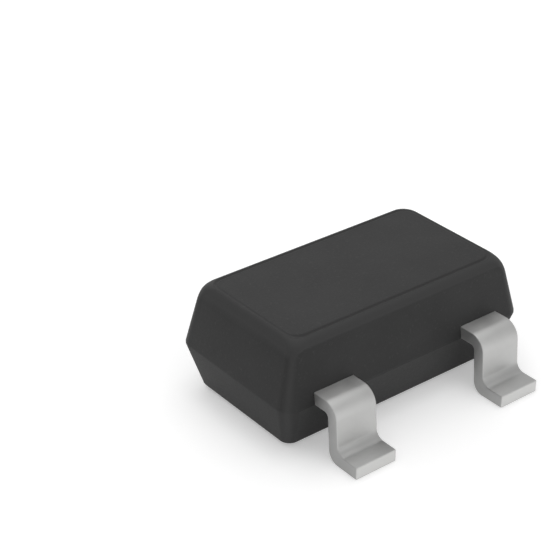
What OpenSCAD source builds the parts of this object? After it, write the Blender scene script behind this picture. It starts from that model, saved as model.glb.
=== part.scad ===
// Three-lead surface-mount transistor: a moulded body with gull-wing leads and a wire-bonded chip inside.
// The origin is on the seating plane under the middle of the body. +X runs along the body, the two-lead
// side faces -Y, the single lead faces +Y, and +Z is up.

/* [Moulded body] */
// Length of the body at the parting line
body_l = 3.09; // [2.7:0.01:3.4]
// Width of the body at the parting line
body_w = 1.72; // [1.5:0.01:2]
// Height of the whole part, from the seating plane to the top
package_h = 1.19; // [1.1:0.01:1.5]
// Depth of the lower half, below the parting line
lower_h = 0.5; // [0.4:0.01:0.6]
// Gap between the seating plane and the underside of the body
standoff = 0.03; // [0.01:0.01:0.1]
// Radius of the upright corners at the parting line
corner_r = 0.15; // [0.08:0.01:0.2]
// Radius of the upright corners where the walls end, next to the rounded edges
wall_corner_r = 0.11; // [0.08:0.01:0.2]
// Radius of the corners of the flat top
top_corner_r = 0.2; // [0.1:0.01:0.3]
// How far the rounded top edges of the two ends reach down
top_end_drop = 0.18; // [0.08:0.01:0.22]
// How far the rounded top edges of the two ends reach in
top_end_run = 0.07; // [0.04:0.01:0.15]
// How far the rounded top edges of the two long sides reach down
top_side_drop = 0.1; // [0.05:0.01:0.2]
// How far the rounded top edges of the two long sides reach in
top_side_run = 0.1; // [0.04:0.01:0.15]
// Radius of the edges round the underside
bottom_edge_r = 0.04; // [0.02:0.01:0.1]
// Draft of the two ends in the upper half of the mould, in degrees
upper_end_draft = 14.5; // [5:0.5:20]
// Draft of the two long sides in the upper half of the mould, in degrees
upper_side_draft = 9; // [5:0.5:20]
// Draft of the two ends in the lower half of the mould, in degrees
lower_end_draft = 15.5; // [5:0.5:20]
// Draft of the two long sides in the lower half of the mould, in degrees
lower_side_draft = 17; // [5:0.5:20]
// Height of the upright land that the mould leaves on each side of the parting line
parting_land = 0.012; // [0.002:0.001:0.02]

/* [Leads] */
// Distance between the centres of the two leads on one side
lead_pitch = 1.9; // [1.7:0.05:2.1]
// Width of a lead
lead_w = 0.495; // [0.35:0.005:0.5]
// Thickness of the lead strip
lead_t = 0.135; // [0.09:0.005:0.16]
// Distance of the underside of the lead frame below the parting line
frame_drop = 0.015; // [0:0.005:0.06]
// Straight run of a lead from the parting line to its first bend
shoulder_l = 0.14; // [0.05:0.01:0.25]
// Straight run of the foot beyond the second bend
foot_l = 0.232; // [0.15:0.001:0.4]
// Inside radius of both bends
bend_r = 0.045; // [0.03:0.005:0.08]
// Lean of the part between the bends, outwards from upright towards the foot, in degrees
riser_lean = 4.5; // [0:0.5:10]

/* [Inner ends of the leads] */
// Length of the chip pad, along the body
pad_l = 0.9; // [0.7:0.01:1]
// Width of the chip pad, across the body
pad_w = 0.8; // [0.6:0.01:1]
// Stamped gap between the chip pad and each wire post
frame_gap = 0.19; // [0.12:0.01:0.25]
// Width of a wire post, across the body
post_w = 0.42; // [0.3:0.01:0.5]
// Distance of a post's inner end from the middle of the body
post_inset = 0.1; // [0.05:0.01:0.2]
// Moulding compound left between a post and the end of the body
end_cover = 0.28; // [0.2:0.01:0.35]

/* [Chip and bonds] */
// Side of the square chip
die_l = 0.42; // [0.3:0.01:0.5]
// Thickness of the chip
die_t = 0.15; // [0.1:0.01:0.2]
// Thickness of the layer that fixes the chip to its pad
attach_t = 0.02; // [0.01:0.005:0.04]
// How far that layer spreads past the chip
attach_spread = 0.025; // [0.01:0.005:0.05]
// Side of a square bond pad on the chip
bond_pad_l = 0.11; // [0.08:0.005:0.14]
// Height of a bond pad above the chip
bond_pad_t = 0.004; // [0.002:0.001:0.01]
// Distance between the centres of the two bond pads
bond_pitch = 0.2; // [0.16:0.01:0.24]
// Diameter of a bond wire
wire_d = 0.03; // [0.02:0.005:0.05]
// Diameter of the flattened ball on the bond pad
ball_d = 0.08; // [0.06:0.005:0.1]
// Height of the flattened ball
ball_t = 0.025; // [0.015:0.005:0.04]
// Rise of the wire loop above the ball
loop_h = 0.13; // [0.08:0.01:0.2]
// Length of the wire that is pressed flat on the post
stitch_l = 0.07; // [0.05:0.01:0.12]
// Thickness of the pressed end of the wire
stitch_t = 0.01; // [0.006:0.001:0.02]

/* [Hidden] */

// Levels, from the seating plane up
parting_z = standoff + lower_h;
upper_h = package_h - parting_z;
frame_bottom = parting_z - frame_drop;
frame_top = frame_bottom + lead_t;
die_bottom = frame_top + attach_t;
die_top = die_bottom + die_t;
bond_z = die_top + bond_pad_t;

// Middle line of a lead: its bends, the length between them, and distances out from the middle of the body
bend_turn = 90 - riser_lean;
bend_mid_r = bend_r + lead_t/2;
riser_l = (frame_bottom - 2*bend_mid_r*(1 - cos(bend_turn)))/sin(bend_turn);
bend_start = body_w/2 + shoulder_l;
foot_start = bend_start + 2*bend_mid_r*sin(bend_turn) + riser_l*cos(bend_turn);
lead_tip = foot_start + foot_l;

// Wire posts: they fill the room between the chip pad and the end cover
post_x_in = pad_l/2 + frame_gap;
post_x_out = body_l/2 - end_cover;
post_x = (post_x_in + post_x_out)/2;
post_y = post_inset + post_w/2;

// Facets of a quarter turn on the rounded corners and on the rounded edges of the body
corner_facets = 8;
edge_facets = 10;
// Facets of a lead's bend
bend_facets = 8;
// Sides and stations of a bond wire
wire_sides = 8;
wire_stations = 12;
half_side = 180/wire_sides;
// Height of a cubic curve's middle points over the height that the curve reaches
loop_pull = 4/3;
// How far the ball draws in at its foot and at its top, and the width that its wire is pressed to on the post
ball_foot_in = ball_t/4;
ball_top_in = ball_t/2;
stitch_w = 2*wire_d;

// List in the opposite order
function reversed(list) = [for (i = [len(list) - 1:-1:0]) list[i]];

// Solid spanned over rings of points, which run anticlockwise as seen from beyond the last ring
module loft(rings) {
  n = len(rings[0]);
  last = len(rings) - 1;
  sides = [for (i = [0:last - 1], k = [0:n - 1], half = [0, 1])
    let (a = i*n + k, b = i*n + (k + 1)%n) half == 0 ? [a, b + n, b] : [a, a + n, b + n]];
  caps = [[for (k = [0:n - 1]) k], [for (k = [n - 1:-1:0]) last*n + k]];
  polyhedron(points = [for (ring = rings) each ring], faces = concat(sides, caps));
}

// Level ring of points round a rectangle with rounded corners
function rounded_ring(half_x, half_y, r, z) =
  [for (corner = [0:3], i = [0:corner_facets])
    let (a = 90*(corner + i/corner_facets),
         sx = corner == 0 || corner == 3 ? 1 : -1,
         sy = corner < 2 ? 1 : -1)
      [sx*(half_x - r) + r*cos(a), sy*(half_y - r) + r*sin(a), z]];

// How far a rounded edge has drawn in from its wall at a depth below its face
function edge_inset(run, drop, below) =
  let (steep = max(1 - below/drop, 0)) run*(1 - sqrt(1 - steep*steep));

// Rings of one half of the moulded block, from the parting line out to its face; up is 1 or -1.
// Drafts, runs and drops are pairs, for the two ends and for the two long sides.
function half_rings(up, h, drafts, runs, drops, flat_r) =
  concat(
    [rounded_ring(body_l/2, body_w/2, corner_r, parting_z + up*parting_land)],
    [for (i = [0:edge_facets])
      let (below = max(drops)*(1 - sin(90*i/edge_facets)),
           rise = h - below - parting_land,
           in_x = edge_inset(runs[0], drops[0], below),
           in_y = edge_inset(runs[1], drops[1], below),
           r = wall_corner_r + (flat_r - wall_corner_r)*in_x/runs[0])
        rounded_ring(body_l/2 - rise*tan(drafts[0]) - in_x, body_w/2 - rise*tan(drafts[1]) - in_y, r,
                     parting_z + up*(h - below))]);

// Middle line of a gull-wing lead as stations [distance out, height, slope]
function lead_line(start) =
  concat(
    [[start, frame_top - lead_t/2, 0]],
    [for (i = [0:bend_facets]) let (a = bend_turn*i/bend_facets)
      [bend_start + bend_mid_r*sin(a), frame_top - lead_t/2 - bend_mid_r*(1 - cos(a)), -a]],
    [for (i = [0:bend_facets]) let (a = bend_turn*(1 - i/bend_facets))
      [foot_start - bend_mid_r*sin(a), lead_t/2 + bend_mid_r*(1 - cos(a)), -a]],
    [[lead_tip, lead_t/2, 0]]);

// Face of a lead at a height d above its middle line
function lead_face(line, d) = [for (s = line) [s[0] - d*sin(s[2]), s[1] + d*cos(s[2])]];

// Side view of a gull-wing lead: x is the distance out from the middle of the body, y is the height
module lead_profile(start) {
  line = lead_line(start);
  under = lead_face(line, -lead_t/2);
  polygon(concat(lead_face(line, lead_t/2), reversed(under)));
}

// Bent strip that leaves the body towards +Y
module lead_strip(start) {
  rotate([90, 0, 90]) linear_extrude(lead_w, center = true) lead_profile(start);
}

// Lead with a wire post, on the two-lead side; end is -1 or 1 along the body
module post_lead(end) {
  mirror([0, 1, 0]) translate([end*lead_pitch/2, 0, 0]) lead_strip(post_y);
  translate([end*post_x - (post_x_out - post_x_in)/2, -post_inset - post_w, frame_bottom])
    cube([post_x_out - post_x_in, post_w, lead_t]);
}

// Point at a share t of a cubic curve, and its direction there
function curve_point(p, t) =
  pow(1 - t, 3)*p[0] + 3*t*pow(1 - t, 2)*p[1] + 3*t*t*(1 - t)*p[2] + pow(t, 3)*p[3];
function curve_slope(p, t) =
  let (d = pow(1 - t, 2)*(p[1] - p[0]) + 2*t*(1 - t)*(p[2] - p[1]) + t*t*(p[3] - p[2])) atan2(d[1], d[0]);

// One section of a bond wire, [along, height, slope, half width, half thickness], as points
function wire_ring(s) =
  [for (k = [0:wire_sides - 1])
    let (a = half_side + 2*half_side*k, w = s[3]*cos(a)/cos(half_side), h = s[4]*sin(a)/cos(half_side))
      [s[0] - h*sin(s[2]), w, s[1] + h*cos(s[2])]];

// Sections from the flattened ball at the origin, over the loop, to the pressed end at span and drop
function wire_sections(span, drop) =
  let (r = wire_d/2, b = ball_d/2,
       land = [span - stitch_l/2, r - drop],
       pull = ball_t + loop_pull*loop_h,
       loop = [[0, ball_t + r], [0, pull], [span/2, pull], land])
    concat(
      [[0, 0, 90, b - ball_foot_in, b - ball_foot_in], [0, ball_t/2, 90, b, b],
       [0, ball_t, 90, b - ball_top_in, b - ball_top_in]],
      [for (i = [0:wire_stations]) let (t = i/wire_stations, p = curve_point(loop, t))
        [p[0], p[1], i == wire_stations ? 0 : curve_slope(loop, t), r, r]],
      [[span + stitch_l/2, stitch_t/2 - drop, 0, stitch_w/2, stitch_t/2]]);

// Bond wire from a point on the chip to a point on a post
module bond_wire(from, to) {
  run = to - from;
  translate(from) rotate([0, 0, atan2(run[1], run[0])])
    loft([for (s = wire_sections(norm([run[0], run[1]]), -run[2])) wire_ring(s)]);
}

// Bond wire to the post at one end of the body; end is -1 or 1
module end_wire(end) {
  bond_wire([end*bond_pitch/2, 0, bond_z], [end*post_x, -post_y, frame_top]);
}

// Dark epoxy block, cast round the lead frame, the chip and its wires
module moulded_body() {
  upper = half_rings(1, upper_h, [upper_end_draft, upper_side_draft], [top_end_run, top_side_run],
                     [top_end_drop, top_side_drop], top_corner_r);
  lower = half_rings(-1, lower_h, [lower_end_draft, lower_side_draft], [bottom_edge_r, bottom_edge_r],
                     [bottom_edge_r, bottom_edge_r], wall_corner_r);
  color([0.22, 0.22, 0.23]) difference() {
    loft(concat(reversed(lower), upper));
    base_lead();
    emitter_lead();
    collector_lead();
    die_attach();
    silicon_die();
    base_bond_wire();
    emitter_bond_wire();
  }
}

// Lead and wire post at the -X end of the two-lead side
module base_lead() {
  color([0.72, 0.72, 0.71]) post_lead(-1);
}

// Lead and wire post at the +X end of the two-lead side
module emitter_lead() {
  color([0.72, 0.72, 0.71]) post_lead(1);
}

// Single lead, in one piece with the pad under the chip
module collector_lead() {
  color([0.72, 0.72, 0.71]) {
    lead_strip(0);
    translate([-pad_l/2, -pad_w/2, frame_bottom]) cube([pad_l, pad_w, lead_t]);
  }
}

// Thin layer under the chip, sloping out past its edges
module die_attach() {
  foot = die_l + 2*attach_spread;
  color([0.6, 0.6, 0.62]) translate([0, 0, frame_top])
    linear_extrude(attach_t, scale = die_l/foot) square(foot, center = true);
}

// Transistor chip with its two bond pads
module silicon_die() {
  color([0.33, 0.35, 0.4]) {
    translate([-die_l/2, -die_l/2, die_bottom]) cube([die_l, die_l, die_t]);
    for (end = [-1, 1])
      translate([end*bond_pitch/2 - bond_pad_l/2, -bond_pad_l/2, die_top])
        cube([bond_pad_l, bond_pad_l, bond_pad_t]);
  }
}

// Gold wire from the chip to the base lead's post
module base_bond_wire() {
  color([0.95, 0.75, 0.3]) end_wire(-1);
}

// Gold wire from the chip to the emitter lead's post
module emitter_bond_wire() {
  color([0.95, 0.75, 0.3]) end_wire(1);
}

moulded_body();
base_lead();
emitter_lead();
collector_lead();
die_attach();
silicon_die();
base_bond_wire();
emitter_bond_wire();
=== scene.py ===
import math
import bmesh
import bpy
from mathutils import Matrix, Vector


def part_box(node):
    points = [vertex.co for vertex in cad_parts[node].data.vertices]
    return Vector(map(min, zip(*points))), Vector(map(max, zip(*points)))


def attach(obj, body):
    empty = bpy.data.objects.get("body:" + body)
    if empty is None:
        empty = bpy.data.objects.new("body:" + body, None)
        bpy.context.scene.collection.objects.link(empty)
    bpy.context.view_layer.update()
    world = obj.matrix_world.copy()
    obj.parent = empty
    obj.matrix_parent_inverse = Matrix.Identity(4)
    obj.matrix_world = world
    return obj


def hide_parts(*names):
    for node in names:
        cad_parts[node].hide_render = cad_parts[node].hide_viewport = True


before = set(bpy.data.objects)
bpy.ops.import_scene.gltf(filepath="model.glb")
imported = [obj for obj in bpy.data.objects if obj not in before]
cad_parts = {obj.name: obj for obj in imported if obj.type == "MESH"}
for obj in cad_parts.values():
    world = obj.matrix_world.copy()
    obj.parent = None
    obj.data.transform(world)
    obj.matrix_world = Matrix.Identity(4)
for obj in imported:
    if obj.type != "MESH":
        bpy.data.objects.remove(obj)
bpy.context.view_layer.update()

MM = 0.001
RIGHT_ANGLE = 90
STRIP_THICKNESS = 0.135 * MM
STRIP_WIDTH = 0.495 * MM
BEND_INSIDE = 0.045 * MM
FOOT_BEND_INSIDE = 0.1 * MM
FOOT_BEND_OUTSIDE = 0.125 * MM
RISER_LEAN = math.radians(4.5)
FOOT_REACH = 0.3357 * MM
POST_WIDTH = 0.42 * MM
STRIP_EDGE = 0.012 * MM
TIP_EDGE = 0.014 * MM
LEAST_EDGE = 0.0005 * MM
EDGE_STEPS = 4
BEND_STEPS = 18
LEAD_CREASE = math.radians(40)
FACE_WEIGHT = 100
TIN_LIGHT = (0.577, 0.577, 0.57, 1.0)
TIN_DARK = (0.538, 0.538, 0.532, 1.0)
# Darker tin for the sideways faces of the leads: painted shade.
PAINTED_SIDE_SHADE = (0.43, 0.43, 0.426, 1.0)
# Lighter tin for the cut end faces of the tips: painted light.
PAINTED_TIP_LIGHT = (0.625, 0.625, 0.616, 1.0)
# Darker tin for the fold and the top of the foot: painted shade.
PAINTED_FOOT_SHADE = (0.465, 0.465, 0.46, 1.0)
SIDE_SHADE_TURN = (0.7, 0.95)
FOLD_TURN = (0.1, 0.45)
FOOT_LEVEL = (0.4, 0.25)
TIP_LIGHT_FULL_SHARE = 0.25
NOISE_SPAN = (0.3, 0.7)
TIN_CLOUD_SPAN = (0.35, 0.65)
TIN_CLOUDS_PER_MM = 5.0
TIN_GRAINS_PER_MM = 55.0
TIN_GRAIN_DETAIL = 3.0
TIN_GRAIN_STRENGTH = 0.25
TIN_GRAIN_DEPTH = 0.002 * MM
TIN_ROUGHNESS = (0.52, 0.6)
ALL_METAL = 1.0


def add_node(tree, kind, inputs=None, **settings):
    """A shader node with its settings, and its inputs given as values or as sockets to link."""
    made = tree.nodes.new(kind)
    for name, value in settings.items():
        setattr(made, name, value)
    for socket, value in (inputs or {}).items():
        if isinstance(value, bpy.types.NodeSocket):
            tree.links.new(value, made.inputs[socket])
        else:
            made.inputs[socket].default_value = value
    return made


def new_finish(name):
    """A material with its shader, and the place on the part in millimetres for its patterns."""
    finish = bpy.data.materials.new(name)
    finish.use_nodes = True
    tree = finish.node_tree
    shader = tree.nodes["Principled BSDF"]
    place = add_node(tree, "ShaderNodeTexCoord").outputs["Object"]
    in_mm = add_node(tree, "ShaderNodeVectorMath", {0: place, "Scale": 1 / MM}, operation="SCALE")
    return finish, tree, shader, in_mm.outputs[0]


def share(tree, value, span, out_low=0.0, out_high=1.0):
    """Maps a value from a span to a range, held at its ends."""
    ends = {"Value": value, "From Min": span[0], "From Max": span[1], "To Min": out_low, "To Max": out_high}
    return add_node(tree, "ShaderNodeMapRange", ends).outputs[0]


def noise(tree, place, per_mm, detail=2.0, roughness=0.5):
    """Noise with about this many grains to the millimetre."""
    grains = {"Vector": place, "Scale": per_mm, "Detail": detail, "Roughness": roughness}
    return add_node(tree, "ShaderNodeTexNoise", grains).outputs["Fac"]


def mix_colour(tree, factor, first, second):
    """A colour between two, by a factor."""
    ends = {"Factor": factor, "A": first, "B": second}
    return add_node(tree, "ShaderNodeMix", ends, data_type="RGBA").outputs["Result"]


def parts_of(tree, vector):
    """The X, Y and Z of a vector."""
    return add_node(tree, "ShaderNodeSeparateXYZ", {0: vector}).outputs


def size_of(tree, value):
    """A value without its sign."""
    return add_node(tree, "ShaderNodeMath", {0: value}, operation="ABSOLUTE").outputs[0]


def facing_of(tree):
    """The X, Y and Z of the direction that a surface faces."""
    return parts_of(tree, add_node(tree, "ShaderNodeTexCoord").outputs["Normal"])


def paint(tree, shader, colour, roughness):
    """Joins a colour and a roughness to the shader."""
    tree.links.new(colour, shader.inputs["Base Color"])
    tree.links.new(roughness, shader.inputs["Roughness"])


def raise_grain(tree, shader, grain, strength, depth):
    """Raises a fine grain on the surface."""
    bump = add_node(tree, "ShaderNodeBump", {"Height": grain, "Strength": strength, "Distance": depth})
    tree.links.new(bump.outputs[0], shader.inputs["Normal"])


def tin_plate(tip):
    """Matt tin with a fine grain, with painted shade on its sideways faces and on the fold and top of its
    foot, and painted light on its cut tips.
    """
    finish, tree, shader, place = new_finish("matt_tin")
    clouds = noise(tree, place, TIN_CLOUDS_PER_MM)
    grain = noise(tree, place, TIN_GRAINS_PER_MM, TIN_GRAIN_DETAIL)
    flat = mix_colour(tree, share(tree, clouds, TIN_CLOUD_SPAN), TIN_DARK, TIN_LIGHT)
    facing = facing_of(tree)
    at = parts_of(tree, place)
    # Painted shade: darker tin on the upward faces of the fold and the foot, low down.
    fold = share(tree, facing["Z"], FOLD_TURN)
    foot_shade = share(tree, at["Z"], FOOT_LEVEL, out_high=fold)
    flat = mix_colour(tree, foot_shade, flat, PAINTED_FOOT_SHADE)
    # Painted shade: darker tin on the faces that look sideways.
    side_shade = share(tree, size_of(tree, facing["X"]), SIDE_SHADE_TURN)
    side_shaded = mix_colour(tree, side_shade, flat, PAINTED_SIDE_SHADE)
    # Painted light: lighter tin on the cut end faces of the tips.
    tip_light_span = ((tip - TIP_EDGE) / MM, (tip - TIP_EDGE * TIP_LIGHT_FULL_SHARE) / MM)
    tip_light = share(tree, size_of(tree, at["Y"]), tip_light_span)
    colour = mix_colour(tree, tip_light, side_shaded, PAINTED_TIP_LIGHT)
    paint(tree, shader, colour, share(tree, clouds, NOISE_SPAN, *TIN_ROUGHNESS))
    raise_grain(tree, shader, grain, TIN_GRAIN_STRENGTH, TIN_GRAIN_DEPTH)
    shader.inputs["Metallic"].default_value = ALL_METAL
    return finish


def strip_section(low, high, inset):
    """Outline of the strip's section, as (across, up), with rounded edges, moved in by an inset."""
    rounding = max(STRIP_EDGE - inset, LEAST_EDGE)
    left = low + inset + rounding
    right = high - inset - rounding
    top = STRIP_THICKNESS / 2 - inset - rounding
    points = []
    for quarter, (centre_x, centre_n) in enumerate(((right, top), (left, top), (left, -top), (right, -top))):
        for step in range(EDGE_STEPS + 1):
            angle = math.radians(RIGHT_ANGLE * quarter + RIGHT_ANGLE * step / EDGE_STEPS)
            points.append((centre_x + rounding * math.cos(angle), centre_n + rounding * math.sin(angle)))
    return points


def face_line(corners, radii, turn):
    """One face of the bent strip, as (out, up) points, with an arc of its own at each bend."""
    reach = math.tan(turn / 2)
    points = []
    for (out, up), radius, bend in zip(corners, radii, (1, -1)):
        for step in range(BEND_STEPS + 1):
            angle = turn * step / BEND_STEPS
            if bend < 0:
                angle = turn - angle
            points.append((out + bend * radius * (math.sin(angle) - reach),
                           up + bend * radius * (math.cos(angle) - 1)))
    return points


def gull_wing(frame_top, tip):
    """The two bends of a lead, as pairs of points on its lower and its upper face."""
    half = STRIP_THICKNESS / 2
    turn = math.pi / 2 - RISER_LEAN
    foot_out = tip - FOOT_REACH
    shoulder_out = foot_out - (frame_top - STRIP_THICKNESS) / math.tan(turn)
    faces = []
    for above, radii in ((-half, (BEND_INSIDE, FOOT_BEND_OUTSIDE)),
                         (half, (BEND_INSIDE + STRIP_THICKNESS, FOOT_BEND_INSIDE))):
        along = above * math.tan(turn / 2)
        corners = ((shoulder_out + along, frame_top - half + above), (foot_out + along, half + above))
        faces.append(face_line(corners, radii, turn))
    return list(zip(*faces))


def upright(out, up):
    """The lower and the upper end of an upright section of the strip."""
    return (out, up - STRIP_THICKNESS / 2), (out, up + STRIP_THICKNESS / 2)


def skin(build, loops):
    """Faces between loops of points and over both ends; gives those between, as a list for each gap."""
    bands = []
    for first, second in zip(loops, loops[1:]):
        band = []
        for index in range(len(first)):
            after = (index + 1) % len(first)
            band.append(build.faces.new((first[index], first[after], second[after], second[index])))
        bands.append(band)
    build.faces.new(loops[0])
    build.faces.new(loops[-1])
    return bands


def as_object(name, build):
    """An object from a built mesh."""
    mesh = bpy.data.meshes.new(name)
    build.to_mesh(mesh)
    build.free()
    made = bpy.data.objects.new(name, mesh)
    bpy.context.scene.collection.objects.link(made)
    return made


def shade(piece, crease):
    """Smooth shading that keeps flat faces flat, with creases where faces meet at more than an angle."""
    piece.data.shade_smooth()
    piece.data.set_sharp_from_angle(angle=crease)
    even = piece.modifiers.new("even_shading", "WEIGHTED_NORMAL")
    even.keep_sharp = True
    even.weight = FACE_WEIGHT


def lead_mesh(name, side, strip_x, inner_x, inner_from, inner_to, frame_top, tip):
    """One lead, swept as rounded sections: a flat inner end, then the bent strip out to its tip."""
    half = STRIP_THICKNESS / 2
    level = frame_top - half
    strip = (strip_x - STRIP_WIDTH / 2, strip_x + STRIP_WIDTH / 2)
    rings = [(upright(inner_from, level), inner_x, TIP_EDGE),
             (upright(inner_from + TIP_EDGE, level), inner_x, 0.0),
             (upright(inner_to, level), inner_x, 0.0),
             (upright(inner_to + TIP_EDGE, level), strip, 0.0)]
    rings += [(pair, strip, 0.0) for pair in gull_wing(frame_top, tip)]
    for step in range(EDGE_STEPS + 1):
        turn = math.pi / 2 * step / EDGE_STEPS
        section = upright(tip - TIP_EDGE * (1 - math.sin(turn)), half)
        rings.append((section, strip, TIP_EDGE * (1 - math.cos(turn))))
    build = bmesh.new()
    loops = []
    for (lower, upper), (low, high), inset in rings:
        loop = []
        for across, normal in strip_section(low, high, inset):
            height = (normal + half) / STRIP_THICKNESS
            out, up = (first + (second - first) * height for first, second in zip(lower, upper))
            loop.append(build.verts.new((across, side * out, up)))
        loops.append(loop)
    skin(build, loops)
    bmesh.ops.recalc_face_normals(build, faces=build.faces)
    made = as_object(name, build)
    shade(made, LEAD_CREASE)
    return made


MATT_TIN = tin_plate(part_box("collector_lead")[1].y)
leads = []
for node, side in (("base_lead", -1), ("emitter_lead", -1), ("collector_lead", 1)):
    low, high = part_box(node)
    tip = max(abs(low.y), abs(high.y))
    if node == "collector_lead":
        inner_from = low.y
        inner_to = -low.y
    else:
        inner_from = -high.y
        inner_to = inner_from + POST_WIDTH
    lead = lead_mesh(node + "_bent", side, (low.x + high.x) / 2, (low.x, high.x), inner_from, inner_to,
                     high.z, tip)
    lead.data.materials.append(MATT_TIN)
    leads.append(lead)
    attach(lead, "root")
    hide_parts(node)

# Die attach
# Thin layer of silver-filled epoxy that fixes the chip to its pad and carries its current and heat.
# It is dispensed wet, and squeezes out in a low slope round the chip as the chip is pressed down.
EPOXY_DARK = (0.35, 0.35, 0.35, 1.0)
EPOXY_LIGHT = (0.62, 0.62, 0.6, 1.0)
FLAKES_PER_MM = 70.0
FLAKE_SPAN = (0.4, 0.6)
EPOXY_ROUGHNESS = (0.4, 0.65)
EPOXY_METAL = 0.8


def silver_epoxy():
    """Dull silver flakes in a resin."""
    finish, tree, shader, place = new_finish("silver_epoxy")
    flakes = noise(tree, place, FLAKES_PER_MM)
    colour = mix_colour(tree, share(tree, flakes, FLAKE_SPAN), EPOXY_DARK, EPOXY_LIGHT)
    paint(tree, shader, colour, share(tree, flakes, NOISE_SPAN, *EPOXY_ROUGHNESS))
    shader.inputs["Metallic"].default_value = EPOXY_METAL
    return finish


def dress(node, finish):
    """Gives a solid of the frame its finish."""
    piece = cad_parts[node]
    piece.data.materials.clear()
    piece.data.materials.append(finish)


dress("die_attach", silver_epoxy())

# Chip
# Square of polished silicon, sawn from a wafer. Its back is the collector; two raised aluminium pads on top
# are the base and the emitter.
CHIP_THICKNESS = 0.15 * MM
PAD_RISE = (0.001 * MM, 0.002 * MM)
SILICON_DARK = (0.1, 0.11, 0.14, 1.0)
SILICON_LIGHT = (0.14, 0.15, 0.18, 1.0)
PAD_ALUMINIUM = (0.8, 0.8, 0.81, 1.0)
SAW_MARKS_PER_MM = 40.0
SILICON_ROUGHNESS = (0.12, 0.25)
SILICON_METAL = 0.9


def silicon():
    """Polished silicon with aluminium on its raised pads."""
    finish, tree, shader, place = new_finish("silicon")
    chip_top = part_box("die_attach")[1].z + CHIP_THICKNESS
    pad = share(tree, parts_of(tree, place)["Z"], [(chip_top + rise) / MM for rise in PAD_RISE])
    saw_marks = noise(tree, place, SAW_MARKS_PER_MM)
    grey = mix_colour(tree, share(tree, saw_marks, NOISE_SPAN), SILICON_DARK, SILICON_LIGHT)
    colour = mix_colour(tree, pad, grey, PAD_ALUMINIUM)
    paint(tree, shader, colour, share(tree, saw_marks, NOISE_SPAN, *SILICON_ROUGHNESS))
    shader.inputs["Metallic"].default_value = SILICON_METAL
    return finish


dress("silicon_die", silicon())

# Bond wires
# Fine drawn gold wire. Each is welded to the chip as a flattened ball, looped over to its post, and pressed
# off flat there.
GOLD_DARK = (0.87, 0.6, 0.2, 1.0)
GOLD_LIGHT = (0.95, 0.72, 0.32, 1.0)
DRAWING_MARKS_PER_MM = 90.0
GOLD_ROUGHNESS = (0.15, 0.28)


def drawn_gold():
    """Bright gold with faint drawing marks."""
    finish, tree, shader, place = new_finish("drawn_gold")
    marks = noise(tree, place, DRAWING_MARKS_PER_MM)
    colour = mix_colour(tree, marks, GOLD_DARK, GOLD_LIGHT)
    paint(tree, shader, colour, share(tree, marks, NOISE_SPAN, *GOLD_ROUGHNESS))
    shader.inputs["Metallic"].default_value = ALL_METAL
    return finish


DRAWN_GOLD = drawn_gold()
for node in ("base_bond_wire", "emitter_bond_wire"):
    dress(node, DRAWN_GOLD)

# Moulded body
# One block of black-filled epoxy compound, cast round the lead frame, chip and wires in a two-part mould.
# Both halves of the mould are drafted, so the sides lean in from the parting line, and the mould was spark
# eroded to a fine matt grain.
BODY_LOW, BODY_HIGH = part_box("moulded_body")
LOWER_DEPTH = 0.5 * MM
PARTING = BODY_LOW.z + LOWER_DEPTH
PARTING_LAND = 0.012 * MM
CORNER = 0.15 * MM
WALL_CORNER = 0.11 * MM
TOP_CORNER = 0.2 * MM
UPPER_DRAFT = (14.5, 9.0)
LOWER_DRAFT = (15.5, 17.0)
TOP_EDGE_RUN = (0.07 * MM, 0.1 * MM)
TOP_EDGE_DROP = (0.18 * MM, 0.1 * MM)
BOTTOM_EDGE = (0.04 * MM, 0.04 * MM)
CORNER_STEPS = 14
ROUND_STEPS = 12
LEVEL_DIGITS = 9
BODY_CREASE = math.radians(24)
SAME_POINT = 0.0001 * MM
LINE_START = 0.005 * MM
LINE_WIDTH = 0.055 * MM
LINE_DEPTH = 0.0145 * MM
LINE_END_SHARE = 0.5
LINE_PROFILE = ((0.25, 0.7), (0.5, 1.0), (0.75, 0.7), (1.0, 0.0))
COMPOUND_DARK = (0.0295, 0.0295, 0.0295, 1.0)
COMPOUND_LIGHT = (0.034, 0.034, 0.034, 1.0)
# Lighter compound for the rounded edges and upright corners: painted highlight.
COMPOUND_EDGE_HIGHLIGHT = (0.0445, 0.0445, 0.0445, 1.0)
FILLER = (0.046, 0.046, 0.046, 1.0)
CORNER_FADE = (0.93, 0.75)
EDGE_FADE = (0.3, 0.45)
FLAT_FADE = (0.985, 0.965)
COMPOUND_CLOUDS_PER_MM = 2.2
COMPOUND_CLOUD_DETAIL = 3.0
COMPOUND_GRAINS_PER_MM = 48.0
COMPOUND_GRAIN_DETAIL = 3.0
COMPOUND_GRAIN_FINENESS = 0.6
COMPOUND_GRAIN_STRENGTH = 0.3
COMPOUND_GRAIN_DEPTH = 0.003 * MM
FILLER_PER_MM = 34.0
FILLER_DETAIL = 1.0
FILLER_SPAN = (0.62, 0.78)
FILLER_SHARE = 0.6
COMPOUND_ROUGHNESS = (0.5, 0.58)
COMPOUND_SHINE = 0.18


def rounded_ring(build, half_x, half_y, corner, height, sunk=0.0):
    """Points round a rectangle with rounded corners, sunk along its sides and less so at its ends."""
    ring = []
    for quarter, (sign_x, sign_y) in enumerate(((1, 1), (-1, 1), (-1, -1), (1, -1))):
        for step in range(CORNER_STEPS + 1):
            angle = math.radians(RIGHT_ANGLE * quarter + RIGHT_ANGLE * step / CORNER_STEPS)
            depth = sunk * (LINE_END_SHARE + (1 - LINE_END_SHARE) * math.sin(angle) ** 2)
            x = sign_x * (half_x - corner) + corner * math.cos(angle)
            y = sign_y * (half_y - corner) + corner * math.sin(angle)
            ring.append(build.verts.new((x, y, height - depth)))
    return ring


def edge_inset(run, drop, below):
    """How far a rounded edge has drawn in from its wall at a depth below its face."""
    steep = max(1 - below / drop, 0.0)
    return run * (1 - math.sqrt(1 - steep * steep))


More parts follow.
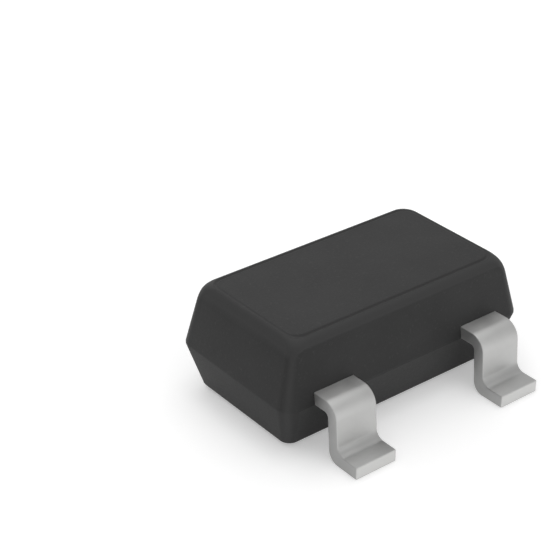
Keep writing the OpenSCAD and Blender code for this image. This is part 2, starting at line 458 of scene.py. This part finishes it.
def mould_half(build, depth, flat_corner, runs, drops, drafts, up, stop=0.0):
    """Rings of one half of the block, from the parting line to a depth below its face; up is 1 or -1."""
    rings = [rounded_ring(build, BODY_HIGH.x, BODY_HIGH.y, CORNER, PARTING + up * PARTING_LAND)]
    turns = [math.pi / 2 * step / ROUND_STEPS for step in range(ROUND_STEPS + 1)]
    levels = {round(drop * (1 - math.sin(turn)), LEVEL_DIGITS) for drop in drops for turn in turns}
    for below in sorted({level for level in levels if level > stop} | {stop}, reverse=True):
        rise = depth - below - PARTING_LAND
        inset_x, inset_y = (edge_inset(run, drop, below) for run, drop in zip(runs, drops))
        half_x = BODY_HIGH.x - rise * math.tan(math.radians(drafts[0])) - inset_x
        half_y = BODY_HIGH.y - rise * math.tan(math.radians(drafts[1])) - inset_y
        corner = WALL_CORNER + (flat_corner - WALL_CORNER) * inset_x / runs[0]
        rings.append(rounded_ring(build, half_x, half_y, corner, PARTING + up * (depth - below)))
    return rings, (half_x, half_y, corner)


def body_mesh():
    """The block as one loft from its underside to its top, with the fine line where the top's flat ends."""
    build = bmesh.new()
    lower = mould_half(build, PARTING - BODY_LOW.z, WALL_CORNER, BOTTOM_EDGE, BOTTOM_EDGE, LOWER_DRAFT, -1)[0]
    upper, flat = mould_half(build, BODY_HIGH.z - PARTING, TOP_CORNER, TOP_EDGE_RUN, TOP_EDGE_DROP,
                             UPPER_DRAFT, 1, LINE_START)
    rings = lower[::-1] + upper
    line_from = len(rings) - 1
    for inset, drop in LINE_PROFILE:
        inward = inset * LINE_WIDTH
        rings.append(rounded_ring(build, *(size - inward for size in flat), BODY_HIGH.z, drop * LINE_DEPTH))
    for band in skin(build, rings)[line_from:]:
        for face in band:
            face.material_index = 1
    bmesh.ops.remove_doubles(build, verts=build.verts, dist=SAME_POINT)
    bmesh.ops.recalc_face_normals(build, faces=build.faces)
    return as_object("moulded_block", build)


def cast_round(block, pieces):
    """Cuts the forms of the pieces out of the block."""
    forms = []
    for piece in pieces:
        build = bmesh.new()
        build.from_mesh(piece.data)
        build.transform(piece.matrix_world)
        bmesh.ops.remove_doubles(build, verts=build.verts, dist=SAME_POINT)
        form = as_object(piece.name + "_form", build)
        forms.append(form)
        cut = block.modifiers.new(form.name, "BOOLEAN")
        cut.operation = "DIFFERENCE"
        cut.solver = "EXACT"
        cut.object = form
    whole = block.evaluated_get(bpy.context.evaluated_depsgraph_get())
    block.data = bpy.data.meshes.new_from_object(whole)
    block.modifiers.clear()
    for form in forms:
        bpy.data.objects.remove(form)


def larger(tree, first, second):
    """The larger of two values."""
    return add_node(tree, "ShaderNodeMath", {0: first, 1: second}, operation="MAXIMUM").outputs[0]


def edge_highlight_share(tree):
    """Where the painted highlight goes: 0 on walls and flat faces, and up to 1 round the upright corners and
    over the rounded edges.
    """
    facing = facing_of(tree)
    across = larger(tree, size_of(tree, facing["X"]), size_of(tree, facing["Y"]))
    upward = size_of(tree, facing["Z"])
    corner = share(tree, across, CORNER_FADE)
    edge = share(tree, upward, EDGE_FADE)
    return share(tree, upward, FLAT_FADE, out_high=larger(tree, corner, edge))


def mould_compound(name, edge):
    """Charcoal epoxy with a spark-eroded grain and a little filler, with a painted highlight of another
    colour on rounded edges.
    """
    finish, tree, shader, place = new_finish(name)
    clouds = noise(tree, place, COMPOUND_CLOUDS_PER_MM, COMPOUND_CLOUD_DETAIL)
    grain = noise(tree, place, COMPOUND_GRAINS_PER_MM, COMPOUND_GRAIN_DETAIL, COMPOUND_GRAIN_FINENESS)
    filler = noise(tree, place, FILLER_PER_MM, FILLER_DETAIL)
    flat = mix_colour(tree, share(tree, clouds, NOISE_SPAN), COMPOUND_DARK, COMPOUND_LIGHT)
    # Painted highlight: a lighter colour on the rounded edges and corners.
    base = mix_colour(tree, edge_highlight_share(tree), flat, edge)
    colour = mix_colour(tree, share(tree, filler, FILLER_SPAN, out_high=FILLER_SHARE), base, FILLER)
    paint(tree, shader, colour, share(tree, grain, NOISE_SPAN, *COMPOUND_ROUGHNESS))
    raise_grain(tree, shader, grain, COMPOUND_GRAIN_STRENGTH, COMPOUND_GRAIN_DEPTH)
    shader.inputs["Specular IOR Level"].default_value = COMPOUND_SHINE
    return finish


body = body_mesh()
inside = ("die_attach", "silicon_die", "base_bond_wire", "emitter_bond_wire")
cast_round(body, leads + [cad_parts[node] for node in inside])
shade(body, BODY_CREASE)
body.data.materials.append(mould_compound("mould_compound", COMPOUND_EDGE_HIGHLIGHT))
# The fine line's sloped faces take the compound's darkest tone and none of the painted highlight: a slight
# painted shade in the groove.
body.data.materials.append(mould_compound("mould_line", COMPOUND_DARK))
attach(body, "root")
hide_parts("moulded_body")

# Floor and light
# A plain white table under the part, in a pale room. One large soft light hangs overhead, one stands behind
# and one low in front. Part of the table's white is a glow that shows, also in metal, but lights nothing.
FLOOR_HALF = 300 * MM
FLOOR_WHITE = (0.85, 0.85, 0.85, 1.0)
FLOOR_ROUGHNESS = 0.9
FLOOR_SHINE = 0.0
FLOOR_GLOW = 0.33
WHITE = (1.0, 1.0, 1.0, 1.0)
FULL_RANGE = (0.0, 1.0)
ROOM_BRIGHTNESS = 0.625
OVERHEAD_PLACE = (2 * MM, 4 * MM, 24 * MM)
OVERHEAD_SIZE = 24 * MM
OVERHEAD_BRIGHTNESS = 0.95
BACK_PLACE = (10 * MM, 24 * MM, 18 * MM)
BACK_SIZE = 18 * MM
BACK_BRIGHTNESS = 0.75
FRONT_PLACE = (4 * MM, -26 * MM, 8 * MM)
FRONT_SIZE = 16 * MM
FRONT_BRIGHTNESS = 1.0


def seen_or_mirrored(tree):
    """1 for what the camera sees, also in a mirror or through glass, and 0 for light that spreads."""
    path = add_node(tree, "ShaderNodeLightPath").outputs
    seen = larger(tree, path["Is Camera Ray"], path["Is Glossy Ray"])
    return larger(tree, seen, path["Is Transmission Ray"])


def white_floor():
    """White board that shows as white and still takes the part's shadow."""
    finish = bpy.data.materials.new("white_floor")
    finish.use_nodes = True
    tree = finish.node_tree
    shader = tree.nodes["Principled BSDF"]
    shader.inputs["Base Color"].default_value = FLOOR_WHITE
    shader.inputs["Roughness"].default_value = FLOOR_ROUGHNESS
    shader.inputs["Specular IOR Level"].default_value = FLOOR_SHINE
    shader.inputs["Emission Color"].default_value = WHITE
    glow = share(tree, seen_or_mirrored(tree), FULL_RANGE, out_high=FLOOR_GLOW)
    tree.links.new(glow, shader.inputs["Emission Strength"])
    return finish


build = bmesh.new()
bmesh.ops.create_grid(build, x_segments=1, y_segments=1, size=FLOOR_HALF)
floor = as_object("floor", build)
floor.data.materials.append(white_floor())

world = bpy.data.worlds.new("pale_room")
bpy.context.scene.world = world
world.use_nodes = True
room = world.node_tree.nodes["Background"]
room.inputs["Color"].default_value = WHITE
room.inputs["Strength"].default_value = ROOM_BRIGHTNESS


def soft_light(name, place, size, brightness):
    """A square soft light that faces the part, of a given brightness."""
    lamp = bpy.data.lights.new(name, "AREA")
    lamp.shape = "SQUARE"
    lamp.size = size
    lamp.energy = brightness * math.pi * size * size
    made = bpy.data.objects.new(name, lamp)
    made.location = place
    made.rotation_euler = Vector(place).to_track_quat("Z", "Y").to_euler()
    bpy.context.scene.collection.objects.link(made)


soft_light("overhead", OVERHEAD_PLACE, OVERHEAD_SIZE, OVERHEAD_BRIGHTNESS)
soft_light("back", BACK_PLACE, BACK_SIZE, BACK_BRIGHTNESS)
soft_light("front", FRONT_PLACE, FRONT_SIZE, FRONT_BRIGHTNESS)

# Camera
# It looks down at the part from in front of its two-lead side, with the part low and right of the middle of
# the frame.
CAMERA_PLACE = (-9.047 * MM, -10.251 * MM, 8.997 * MM)
CAMERA_AZIMUTH = -38.12
CAMERA_ELEVATION = 30.0
FOCAL_PIXELS = 1572.3
FRAME_PIXELS = 550
SENSOR = 36.0
NEAR_LIMIT = 0.1 * MM
FAR_LIMIT = 2.0
view = bpy.data.cameras.new("camera")
view.sensor_width = SENSOR
view.lens = SENSOR * FOCAL_PIXELS / FRAME_PIXELS
view.clip_start = NEAR_LIMIT
view.clip_end = FAR_LIMIT
camera = bpy.data.objects.new("camera", view)
camera.location = CAMERA_PLACE
camera.rotation_euler = (math.radians(RIGHT_ANGLE - CAMERA_ELEVATION), 0.0, math.radians(CAMERA_AZIMUTH))
bpy.context.scene.collection.objects.link(camera)
bpy.context.scene.camera = camera
bpy.context.scene.view_settings.view_transform = "Standard"
